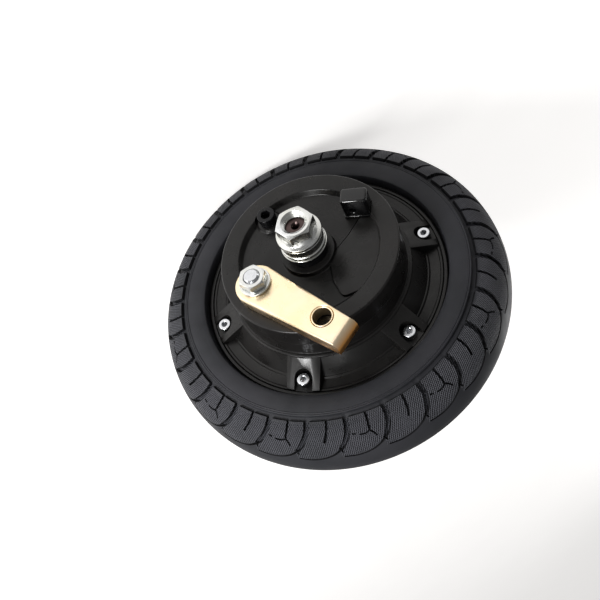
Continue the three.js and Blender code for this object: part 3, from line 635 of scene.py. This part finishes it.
def tyre():
    flat, triangles = tread_cell()
    used = sorted({i for t in triangles for i in t})
    bm = bmesh.new()
    knurl = bm.verts.layers.float.new("knurl")
    uv = bm.loops.layers.uv.new("tread")
    wall_shade_mask = bm.loops.layers.float.new("wall")
    shape, depths = {}, {}
    for i in used:
        u, s = flat[i]
        point, normal = section(s)
        depths[i] = depth_at(u, s)
        r, h = point - normal * depths[i]
        shape[i] = (u / TREAD_MEAN_RADIUS, r, h, knurl_at(u, s))

    def ring_vertex(angle, r, h, front):
        a = angle if front else -angle + math.tau / PATTERNS / 4
        return bm.verts.new((r * math.cos(a), r * math.sin(a), h if front else -h))

    for front in (True, False):
        for cell in range(PATTERNS):
            turn = math.tau * cell / PATTERNS
            made = {}
            for i, (angle, r, h, knurled) in shape.items():
                made[i] = ring_vertex(angle + turn, r, h, front)
                made[i][knurl] = knurled
            for a, b, c in triangles:
                corners = (a, b, c) if front else (a, c, b)
                face = bm.faces.new([made[i] for i in corners])
                drop = max(depths[i] for i in corners) - min(depths[i] for i in corners)
                for loop, i in zip(face.loops, corners):
                    loop[uv].uv = (flat[i].x + cell * CELL, flat[i].y)
                    # Corners on a groove's steep walls are marked for the material's painted shade.
                    loop[wall_shade_mask] = float(drop > 0.5)
    # The side wall from the tread's foot, over two fine ribs, to the bead and the bore.
    foot, normal = section(FOOT_S)
    foot -= normal * SHOULDER_STEP
    top = foot.y + SHOULDER_STEP
    wall = [tuple(foot), (81.75, top - 1.3), (81.5, top - 0.1), (81.2, top + 0.2), (80.8, top),
            (80.5, top + 0.05),
            (80.2, top + 0.34), (79.8, top + 0.05), (78.6, top + 0.25), (76.5, top + 0.5), (74.4, top + 0.45),
            (72.4, top + 0.25), (70.6, top - 0.1), (69.9, top - 0.5), (69.5, top - 1.2), (69.3, top - 2.4),
            (69.2, 19.4), (69.1, 17), (64, 12), (64, 0)]
    columns = COLUMNS * PATTERNS
    width = math.tau / columns
    foot_line = sorted(shape[i][:3] for i in used if abs(flat[i].y - FOOT_S) < 1e-3)
    for front in (True, False):
        rings = [[ring_vertex(width * k, r, h, front) for k in range(columns)] for r, h in wall[1:]]
        for low, high in zip(rings, rings[1:]):
            for k in range(columns):
                j = (k + 1) % columns
                bm.faces.new((low[k], low[j], high[j], high[k]))
        # The first band takes up the extra corners that the grooves leave on the foot line.
        for k in range(columns):
            start, turn = width * (k % COLUMNS), math.tau / PATTERNS * (k // COLUMNS)
            edge = [ring_vertex(angle + turn, r, h, front) for angle, r, h in foot_line
                    if start - 1e-6 < angle < start + width + 1e-6]
            bm.faces.new([*edge, rings[0][(k + 1) % columns], rings[0][k]])
    bmesh.ops.remove_doubles(bm, verts=bm.verts, dist=2e-3)
    bmesh.ops.dissolve_degenerate(bm, edges=bm.edges, dist=1e-3)
    bmesh.ops.recalc_face_normals(bm, faces=bm.faces)
    return bm


finished("treaded_tyre", tyre(), "rotor", "tyre_rubber", "tyre", sharp=28)

# ---------------------------------------------------------------- rim, covers and their screws

SCREWS = [centre(f"brake_cover_screw_{i}") for i in range(1, 7)]
SCREW_ANGLES = [math.degrees(math.atan2(y, x)) for x, y in SCREWS]
SCREW_SEAT_H = 19.4
SCREW_GAP = 0.3  # between a screw's head and its seat


def mirrored(half):
    return [*half, *[(corner[0], -corner[1], *corner[2:]) for corner in half[::-1]]]


def rim():
    return lathe(mirrored([
        (57.5, 15.7), (66.2, 15.7), (66.2, RIM_LIP_H, 0.35), (68.4, RIM_LIP_H, 0.7), (68.4, 17, 0.8),
        (63.5, 12, 0.8),
    ]), steps=180)


def pad(profile):
    """The wedge under a cover screw, drawn with its screw on the x axis."""
    bm = extrude(rounded(profile), -9.25, 9.25, edge=0.35, bottom_edge=0.35)
    return tilted(bm, 90, "X")


def pad_slot(floor):
    slot = [(80, -5), *[(SCREW_CIRCLE + 5 * math.cos(a), 5 * math.sin(a))
                        for a in (math.radians(-90 - 15 * k) for k in range(13))], (80, 5)]
    return extrude(slot, floor, 46)


def cover(shell_outline, wedge):
    trimmed = meet(pad(wedge), lathe([(40, 10), (65.9, 10), (65.9, 40), (40, 40)], steps=180))
    pads = [spun(trimmed.copy(), angle) for angle in SCREW_ANGLES]
    slots = [spun(pad_slot(SCREW_SEAT_H), angle) for angle in SCREW_ANGLES]
    holes = [extrude(circle(2.2, at, 24), 5, 46) for at in SCREWS]
    return cut(join(lathe(shell_outline, steps=180), *pads), *slots, *holes)


BEARING_POCKET = 16.15
BRAKE_SHELL = [
    (BEARING_POCKET, 17.5), (20.5, 17.5), (20.5, 23.6), (46, 23.6), (54.2, 17.6), (54.2, 13.2), (57.2, 13.2),
    (57.2, 16), (65.9, 16), (65.9, 19.55, 0.4), (64.6, 19.55, 0.3), (64.2, SCREW_SEAT_H - 0.25, 0.2),
    (58.9, SCREW_SEAT_H - 0.25, 0.3), (58.2, 20.0, 0.4), (57.5, 20.0, 0.3), (50.9, 28.7, 0.4),
    (50.8, 29.5, 0.4),
    (49.9, 29.9, 0.4), (48.6, 29.9, 0.3), (48.6, 40.15, 0.5), (46, 40.15), (46, 27), (20.5, 27),
    (20.5, 28.8), (12.8, 28.8), (12.8, 27.3), (BEARING_POCKET, 27.3),
]
REAR_SHELL = [
    (BEARING_POCKET, 17.5), (20.5, 17.5), (20.5, 21.6), (44, 21.6), (54.2, 17.6), (54.2, 13.2), (57.2, 13.2),
    (57.2, 16), (65.9, 16), (65.9, 19.55, 0.4), (64.6, 19.55, 0.3), (64.2, SCREW_SEAT_H - 0.25, 0.2),
    (58.9, SCREW_SEAT_H - 0.25, 0.3), (58.2, 19.9, 0.4), (47, 24.6, 3), (23.5, 26.1, 1.5), (21, 30.5, 0.8),
    (12.8, 30.5, 0.4), (12.8, 27.3), (BEARING_POCKET, 27.3),
]
BRAKE_WEDGE = [(49.35, 29.45, 0.5), (50, 26.6), (57.6, 17.3), (67, 17.3), (67, 19.75)]
REAR_WEDGE = [(49.8, 24.2, 0.5), (51, 20.6), (57, 17.3), (67, 17.3), (67, 19.75)]

finished("wheel_rim", rim(), "rotor", "black_casting", "hub_shell")
finished("brake_cover_casting", cover(BRAKE_SHELL, BRAKE_WEDGE), "rotor", "black_casting",
         "brake_side_cover", sharp=30)
finished("rear_cover_casting", spun(cover(REAR_SHELL, REAR_WEDGE), flip=True), "rotor",
         "black_casting", "rear_cover", sharp=30)


def cap_screw(shank, head, height, across, length):
    """A socket head cap screw standing on h = 0, with a knurled head and a hexagon socket."""
    body = lathe([(0, -length), (shank, -length, 0.3), (shank, 0), (head, 0, 0.15), (head, height, 0.45),
                  (0, height)], steps=48)
    socket = extrude(hexagon(across), height * 0.3, height + 1)
    lead_in = lathe([(0, height - 0.2), (across * 0.52, height - 0.2), (across * 0.52 + 0.35, height + 0.1),
                     (0, height + 0.1)], steps=48)
    return cut(body, socket, lead_in)


for number, (x, y) in enumerate(SCREWS, 1):
    for side in ("brake", "rear"):
        screw = spun(cap_screw(1.7, 3.5, 4, 3, 11.5), 37 * number, (x, y),
                     SCREW_SEAT_H + SCREW_GAP, side == "rear")
        finished(f"{side}_cap_screw_{number}", screw, "rotor", "bright_steel", f"{side}_cover_screw_{number}")

# ---------------------------------------------------------------- threads and fasteners

THREAD_PITCH = 1.25
THREAD_DEPTH = 0.72


def threaded(major, low, high, chamfer=0.8, grown=0.0, steps=72):
    """A threaded rod. A rod that is grown cuts the matching thread in a nut."""
    per_turn = 8
    turns = math.ceil((high - low) / THREAD_PITCH) + 1
    columns = []
    for k in range(steps + 1):
        angle = math.tau * k / steps
        column = []
        for j in range(turns * per_turn + 1):
            h = max(low, min(high, low + THREAD_PITCH * (j / per_turn + k / steps - 1)))
            phase = (h / THREAD_PITCH - k / steps) % 1
            cut_depth = THREAD_DEPTH * max(0, min(1, 2.6 * (0.5 - abs(phase - 0.5)) - 0.15))
            end = max(0, chamfer - min(h - low, high - h)) if chamfer else 0
            r = min(major - cut_depth, major - end) + grown
            column.append((r * math.cos(angle), r * math.sin(angle), h))
        columns.append(column)
    bm = bmesh.new()
    made = [[bm.verts.new(p) for p in column] for column in columns]
    for near, far in zip(made, made[1:]):
        for j in range(len(near) - 1):
            bm.faces.new((near[j], far[j], far[j + 1], near[j + 1]))
    bmesh.ops.remove_doubles(bm, verts=bm.verts, dist=1e-5)
    for level in (low, high):
        loop = [e for e in bm.edges if e.is_boundary and all(abs(v.co.z - level) < 1e-4 for v in e.verts)]
        bmesh.ops.contextual_create(bm, geom=loop)
    return finish_mesh(bm)


def flange_nut():
    """An M12 flange nut that stands on h = 0, with its thread and both chamfers."""
    top = 10.4
    flange = lathe([(0, 0), (12.15, 0, 0.25), (12.15, 1.5, 0.4), (10.2, 2.35, 1.2), (9.2, 4.2, 0.8),
                    (0, 4.2)], steps=96)
    hex_head = extrude(hexagon(18, 18, 0.35), 1.2, top)
    crown = lathe([(0, 0), (11, 0), (11, top - 1.45), (8.35, top, 0.25), (0, top)], steps=96)
    bore_chamfer = [(0, top - 1.2), (5.6, top - 1.2), (7.1, top + 0.1), (0, top + 0.1)]
    body = join(meet(hex_head, crown), flange)
    thread = threaded(THREAD_RADIUS, -0.5, top + 0.6, 0, 0.12)
    return cut(body, thread, lathe(bore_chamfer, steps=96))


def along_axle(name, outline, node, slot_name, steps=STEPS, flip=False, **options):
    return finished(name, spun(lathe(outline, steps=steps), flip=flip), "axle", slot_name, node, **options)


def washer(inner, outer, low, high):
    edge = min(0.3, (high - low) / 3)
    return [(inner, low), (outer, low, edge), (outer, high, edge), (inner, high, 0.2)]


CLEAR_BORE = THREAD_RADIUS + 0.3
NUT_BASE_H = span("brake_side_nut")[0]
COLLAR_TOP_H = span("brake_side_collar")[1]

finished("brake_flange_nut", spun(flange_nut(), lift=NUT_BASE_H), "axle", "white_zinc", "brake_side_nut")
finished("rear_flange_nut", spun(flange_nut(), lift=NUT_BASE_H, flip=True), "axle", "white_zinc", "rear_nut")
along_axle("brake_plain_washer", washer(CLEAR_BORE, 12.5, *span("brake_side_washer")),
           "brake_side_washer", "white_zinc")
along_axle("brake_axle_spacer", [
    (CLEAR_BORE, 62.4), (12.1, 62.4, 0.35), (12.1, 64.0, 0.35), (11.5, 64.5, 0.3), (11.5, 68.4, 0.3),
    (12.1, 68.9, 0.3), (12.1, 69.8, 0.3), (CLEAR_BORE, 69.8),
], "brake_side_spacer", "white_zinc")
along_axle("brake_axle_collar", [
    (CLEAR_BORE, 54.5), (11, 54.5), (11, COLLAR_TOP_H, 0.4), (CLEAR_BORE, COLLAR_TOP_H),
], "brake_side_collar", "black_steel")
along_axle("rear_plain_washer", washer(CLEAR_BORE, 12.5, -span("rear_washer")[1], -span("rear_washer")[0]),
           "rear_washer", "white_zinc", flip=True)
along_axle("rear_axle_collar", [
    (7.65, 27.3), (9.6, 27.3), (9.6, 31.2, 0.3), (11, 31.2, 0.3), (11, 57.6, 0.3), (10.4, 58.0, 0.2),
    (10.4, 58.8, 0.2), (11, 59.2, 0.2), (11, COLLAR_TOP_H, 0.4), (CLEAR_BORE, COLLAR_TOP_H),
    (CLEAR_BORE, 34.3), (7.65, 34.3),
], "rear_collar", "black_steel", flip=True)
along_axle("cable_exit_grommet", [
    (1.9, 73), (3.45, 73), (3.45, 80.3, 0.5), (2.9, 80.3, 0.3), (2.5, 79.4, 0.3), (1.9, 79.4, 0.3),
], "cable_grommet", "seal_rubber", steps=48, flip=True)


def axle():
    """The axle: a stepped shaft, threaded at both ends, with flats and a bore for the motor's cable."""
    low, high = span("axle")
    shoulder, seat = 17.7, 7.5
    shaft = lathe([
        (0, -34.5), (seat, -34.5, 0.3), (seat, -shoulder, 0.3), (10, -shoulder, 0.5), (10, shoulder, 0.5),
        (seat, shoulder, 0.3), (seat, 54.2, 0.5), (0, 54.2),
    ], steps=96)
    rear_end = threaded(THREAD_RADIUS, low, -34.2)
    brake_end = threaded(THREAD_RADIUS, 53.9, high)

    def pair_of_flats(half, start, end):
        return [extrude(rectangle(-9, 9, *sides), start, end) for sides in ((half, 9), (-9, -half))]

    centre_hole = lathe([(0, high - 3.6), (0.6, high - 3.4), (1.1, high - 1.4), (1.9, high - 0.4),
                         (2.5, high + 0.1), (0, high + 0.1)], steps=48)
    cuts = [
        *pair_of_flats(FLAT_HALF, 60.6, high + 1), *pair_of_flats(FLAT_HALF, low - 1, -60.6),
        *pair_of_flats(FLAT_HALF - 0.1, -68, -61.1), centre_hole,
        lathe([(0, low - 1), (4.1, low - 1), (4.1, low + 0.1), (3.6, low + 0.6), (3.6, -10),
               (0, -10)], steps=48),
        extrude(rectangle(0, 12, -3, 3, 1.2), -16.5, -9), extrude(rectangle(8, 12, -2.65, 2.65), -4.8, 4.8),
    ]
    return cut(join(shaft, rear_end, brake_end), *cuts)


finished("threaded_axle", axle(), "axle", "axle_steel", "axle")

# ---------------------------------------------------------------- brake plate and what stands on it

STOP_AT = (27.6, 21.9)
STOP_TURN = -6
STOP_HALF = (7.1, 4.5)
STOP_BASE_H, STOP_TOP_H = span("cable_stop")
CAM_BOSS_RADIUS = 9.8
CAM_BORE = 7.2


def stop_outline(margin):
    x, y = STOP_HALF[0] + margin, STOP_HALF[1] + margin
    return rectangle(-x, x, -y, y, 1.6 + margin)


def brake_plate():
    web = 46.6
    dish = lathe([
        (7.9, 41.2), (15.5, 41.2, 0.4), (15.5, web, 0.4), (46.4, web, 0.6), (46.4, PLATE_BOTTOM_H),
        (PLATE_RADIUS, PLATE_BOTTOM_H), (PLATE_RADIUS, PLATE_TOP_H, 1.1),
        (RECESS_RADIUS + 1.5, PLATE_TOP_H, 0.9),
        (RECESS_RADIUS - 0.4, RECESS_H, 1.0), (BOSS_RADIUS + 0.15, RECESS_H, 0.8),
        (BOSS_RADIUS, 54, 0.55), (7.9, 54, 0.3),
    ], steps=240, segments=6)
    floor_outline = rounded([
        (28, 17, 2), (21.6, 7, 6), (15.3, -0.3, 4), (11, -7), (13, -20, 3), (17.5, -30, 3), polar(38.4, -45),
        polar(38.4, -25), polar(38.4, -5), polar(38.4, 10), polar(38.4, 24),
    ])
    raised = extrude(floor_outline, RECESS_H - 1.2, RAISED_FLOOR_H, edge=0.35)
    below_rim = lathe([(BOSS_RADIUS - 1, 40), (38.4, 40), (38.4, 52), (BOSS_RADIUS - 1, 52)], steps=STEPS)
    # A fine channel follows the raised floor's foot.
    channel = meet(extrude(inset(floor_outline, -0.75), RECESS_H - 0.8, RECESS_H + 2),
                   lathe([(BOSS_RADIUS + 0.6, 40), (36.6, 40), (36.6, 60), (BOSS_RADIUS + 0.6, 60)],
                         steps=STEPS))
    clearance = extrude(circle(7.6, PLATE_SCREW_AT, 64), RECESS_H, 60)
    screw_boss = lathe([
        (0, RECESS_H - 1), (7.7, RECESS_H - 1), (7.5, RECESS_H + 0.05, 0.2), (6.6, 51.35, 0.3),
        (6.2, 52, 0.25),
        (0, 52),
    ], steps=64, at=PLATE_SCREW_AT)
    below = extrude(circle(6, PLATE_SCREW_AT), 41.5, 47)
    anchor = polar(33, 39)
    anchor_boss = extrude(circle(8.2, anchor), 41.2, 47)
    cam_boss = lathe([(0, 41.2), (CAM_BOSS_RADIUS, 41.2), (CAM_BOSS_RADIUS, 52.8, 0.5), (0, 52.8)],
                     steps=96, at=CAM_AT)
    body = join(cut(dish, clearance, channel), meet(raised, below_rim), screw_boss, below, anchor_boss,
                cam_boss)
    pocket = spun(extrude(stop_outline(0.3), RAISED_FLOOR_H, 60), STOP_TURN, STOP_AT)
    return cut(body, pocket, extrude(circle(3, PLATE_SCREW_AT), 43, 60),
               extrude(circle(5.15, anchor), 40, 49.3),
               extrude(circle(CAM_BORE, CAM_AT), 40, 60))


def cable_stop():
    """The glossy block that the brake cable's casing ends against."""
    column = extrude(stop_outline(0), STOP_BASE_H, STOP_TOP_H, edge=1.15)
    foot = extrude(stop_outline(0.55), STOP_BASE_H, STOP_BASE_H + 0.9, edge=0.35)
    # The casing's seat is a counterbore in the front face, and a small hole takes the cable through.
    hole = spun(tilted(extrude(circle(1.6, steps=32), -10, 10), 90, "X"), at=(-1.6, 0), lift=57)
    lead_in = spun(tilted(lathe([(0, 3.9), (1.6, 3.9), (2.2, 4.6), (0, 4.6)], steps=32), 90, "X"),
                   at=(-1.6, 0), lift=57)
    return spun(cut(join(column, foot), hole, lead_in), STOP_TURN, STOP_AT)


finished("brake_plate_casting", brake_plate(), "axle", "black_casting", "brake_plate", sharp=30)
finished("cable_stop_block", cable_stop(), "axle", "black_gloss", "cable_stop")
screw_low, screw_high = span("plate_screw")
finished("plate_cap_screw", spun(cap_screw(2.7, 5, 6, 5, 8.5), 20, PLATE_SCREW_AT, screw_high - 6), "axle",
         "black_steel", "plate_screw")

# ---------------------------------------------------------------- brake lever

LEVER_LOW_H, LEVER_TOP_H = span("brake_lever")
LEVER_WALL = 2.6


def on_lever(bm):
    return spun(bm, math.degrees(LEVER_ANGLE), CAM_AT)


def lever_outline(margin):
    """The lever's outline, drawn in by a margin: a round boss that narrows to a square end."""
    boss = 11.4 - margin
    arc = [polar(boss, 80 + 5 * k) for k in range(39)]
    end = 59.6 - margin
    return [*arc, (end, -10.6 + margin), (end, 5.9 - margin)]


def lever_profile(margin):
    """The lever's side view: the far end of its top turns down round a fold."""
    end, top, fold = 59.6 - margin, LEVER_TOP_H - margin, 5 - margin * 0.7
    outline = rounded([(-20, 50), (end, 50), (end, top, fold), (-20, top)], 10)
    return tilted(extrude(outline, -20, 20), 90, "X")


def lever():
    outside = meet(extrude(lever_outline(0), LEVER_LOW_H, LEVER_TOP_H, edge=1.5, bottom_edge=0.3),
                   lever_profile(0))
    inside = meet(extrude(lever_outline(LEVER_WALL), 40, LEVER_TOP_H - LEVER_WALL, edge=0.6),
                  lever_profile(LEVER_WALL))
    stud_hole = extrude(circle(5), 40, 70)
    eye = lathe([(0, 40), (5.85, 40), (5.85, LEVER_TOP_H - 0.4), (6.25, LEVER_TOP_H + 0.05), (6.25, 70),
                 (0, 70)],
                steps=64, at=(LEVER_EYE, 0))
    bm = cut(outside, inside, stud_hole, eye)
    # The fold attribute marks the bend where the material paints its orange sheen.
    fold = bm.verts.layers.float.new("fold")
    for vert in bm.verts:
        vert[fold] = max(0, min(1, (LEVER_TOP_H - 0.5 - vert.co.z) / 3)) if vert.co.x > 53 else 0
    return on_lever(bm)


finished("folded_brake_lever", lever(), "lever", "yellow_zinc", "brake_lever")
sleeve_low, sleeve_high = span("lever_cable_sleeve")
finished("cable_eye_sleeve", on_lever(lathe([
    (4.9, sleeve_low, 0.2), (5.65, sleeve_low, 0.2), (5.65, sleeve_high, 0.25), (4.9, sleeve_high, 0.25),
], steps=64, at=(LEVER_EYE, 0))), "lever", "yellow_zinc", "lever_cable_sleeve")
finished("lever_plain_washer", on_lever(lathe(washer(4.3, 8.5, *span("lever_washer")), steps=72)), "lever",
         "white_zinc", "lever_washer")


def lever_nut():
    low, high = span("lever_nut")
    crown = lathe([(0, low), (6.6, low), (7.6, low + 0.7), (7.6, high - 0.75), (6.3, high, 0.2), (0, high)],
                  steps=96)
    thread = threaded(4, low - 0.5, high + 0.6, 0, 0.1, 48)
    lead_in = lathe([(0, high - 0.6), (3.9, high - 0.6), (4.7, high + 0.1), (0, high + 0.1)], steps=72)
    return on_lever(cut(meet(extrude(hexagon(13, 0, 0.25), low, high), crown), thread, lead_in))


def cam_shaft():
    shaft = lathe([(0, 28.5), (5, 28.5, 0.5), (5, 55.2, 0.3), (4.7, 55.2), (4.7, LEVER_TOP_H, 0.3),
                   (0, LEVER_TOP_H)],
                  steps=72)
    stud = threaded(4, LEVER_TOP_H - 0.5, span("cam_shaft")[1], 0.6, steps=48)
    flats = [extrude(rectangle(-9, 9, *sides), 28, 39) for sides in ((3, 9), (-9, -3))]
    return on_lever(spun(cut(join(shaft, stud), *flats), 39 - math.degrees(LEVER_ANGLE)))


finished("lever_hexagon_nut", lever_nut(), "lever", "white_zinc", "lever_nut")
finished("cam_and_stud", cam_shaft(), "lever", "bright_steel", "cam_shaft")

# ---------------------------------------------------------------- camera, floor and light

LENS = 53.94
AIM = Vector((0.0164, -0.0054, -0.0090))
DISTANCE = 0.5165
RIGHT = Vector((-0.8303, 0.2844, 0.4794))
BACK = Vector((0.0372, -0.8299, 0.5567))


def view_matrix():
    back = BACK.normalized()
    right = (RIGHT - back * RIGHT.dot(back)).normalized()
    turn = Matrix((right, back.cross(right), back)).transposed()
    return Matrix.Translation(AIM + back * DISTANCE) @ turn.to_4x4()


camera_data = bpy.data.cameras.new("camera")
camera_data.lens = LENS
camera_data.sensor_width = 36
camera_data.clip_start = 0.01
camera = bpy.data.objects.new("camera", camera_data)
camera.matrix_world = view_matrix()
bpy.context.scene.collection.objects.link(camera)
bpy.context.scene.camera = camera


def soft_light(name, across, up, toward, size, watts, color=(1, 1, 1)):
    """A square light placed by how far it stands to the picture's right, up and towards the viewer."""
    data = bpy.data.lights.new(name, "AREA")
    data.shape = "RECTANGLE"
    data.size, data.size_y = size
    data.energy = watts
    data.color = color
    place = camera.matrix_world.to_3x3() @ Vector((across, up, toward)) + AIM
    light = bpy.data.objects.new(name, data)
    light.location = place
    light.rotation_euler = (AIM - place).to_track_quat("-Z", "Y").to_euler()
    bpy.context.scene.collection.objects.link(light)


soft_light("key", -0.55, -0.42, 0.75, (0.3, 0.3), 9.5)
soft_light("front_fill", 0.1, -0.9, 0.45, (0.5, 0.14), 2.5)
soft_light("rim_edge", -0.35, 0.5, 0.35, (0.12, 0.12), 0.8)
soft_light("behind", 0.9, 0.1, -0.75, (0.7, 0.7), 4.5)

floor_mesh = bmesh.new()
bmesh.ops.create_grid(floor_mesh, x_segments=1, y_segments=1, size=30)
floor = as_object(floor_mesh, "floor")
floor.location.z = -TYRE_RADIUS * MM
floor_material = material("floor", (0.9, 0.89, 0.88), 0.6, mottle=0.01, scale=20)
floor_shader = floor_material.node_tree.nodes["Principled BSDF"]
floor_shader.inputs["Emission Color"].default_value = (1, 0.985, 0.97, 1)
floor_shader.inputs["Emission Strength"].default_value = 0.38
floor.data.materials.append(floor_material)

world = bpy.data.worlds.new("world")
world.use_nodes = True
world.node_tree.nodes["Background"].inputs["Color"].default_value = (0.95, 0.95, 0.95, 1)
world.node_tree.nodes["Background"].inputs["Strength"].default_value = 0.28
bpy.context.scene.world = world
bpy.context.scene.view_settings.view_transform = "Standard"
bpy.context.scene.view_settings.look = "Medium High Contrast"
